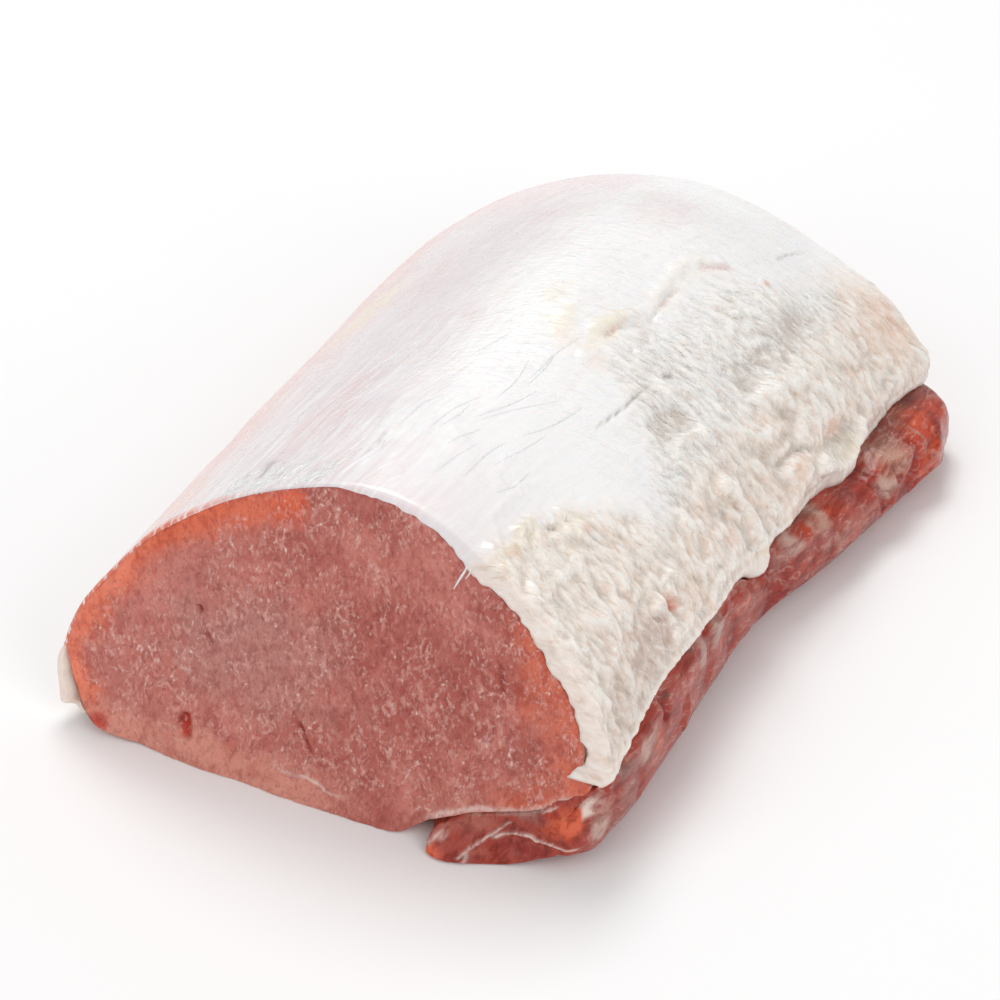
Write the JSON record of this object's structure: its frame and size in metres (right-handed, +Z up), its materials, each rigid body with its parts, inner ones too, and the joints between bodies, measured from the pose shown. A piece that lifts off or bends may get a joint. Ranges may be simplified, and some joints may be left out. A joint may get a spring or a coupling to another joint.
{
  "type": "boneless pork loin",
  "caption": "Short raw boneless pork loin roast with square-cut ends: a lean eye muscle under a fat cap, with a darker strap of meat along its right heel.",
  "frame": {"origin": "on the table under the middle of the roast's bounding box", "axes": "+Y along the roast from the front cut to the back cut, +X towards the side strap, +Z up"},
  "size_m": [0.1506, 0.1976, 0.0746],
  "materials": {
    "lean": "moist raw lean pork, dusty rose with fine pale flecks",
    "fat": "creamy white fat that thins to glossy silverskin",
    "dark_lean": "wet darker lean with pale membrane"
  },
  "bodies": {
    "root": {"loin_eye": "lean", "fat_cap": "fat", "side_strap": "dark_lean"}
  },
  "joints": []
}
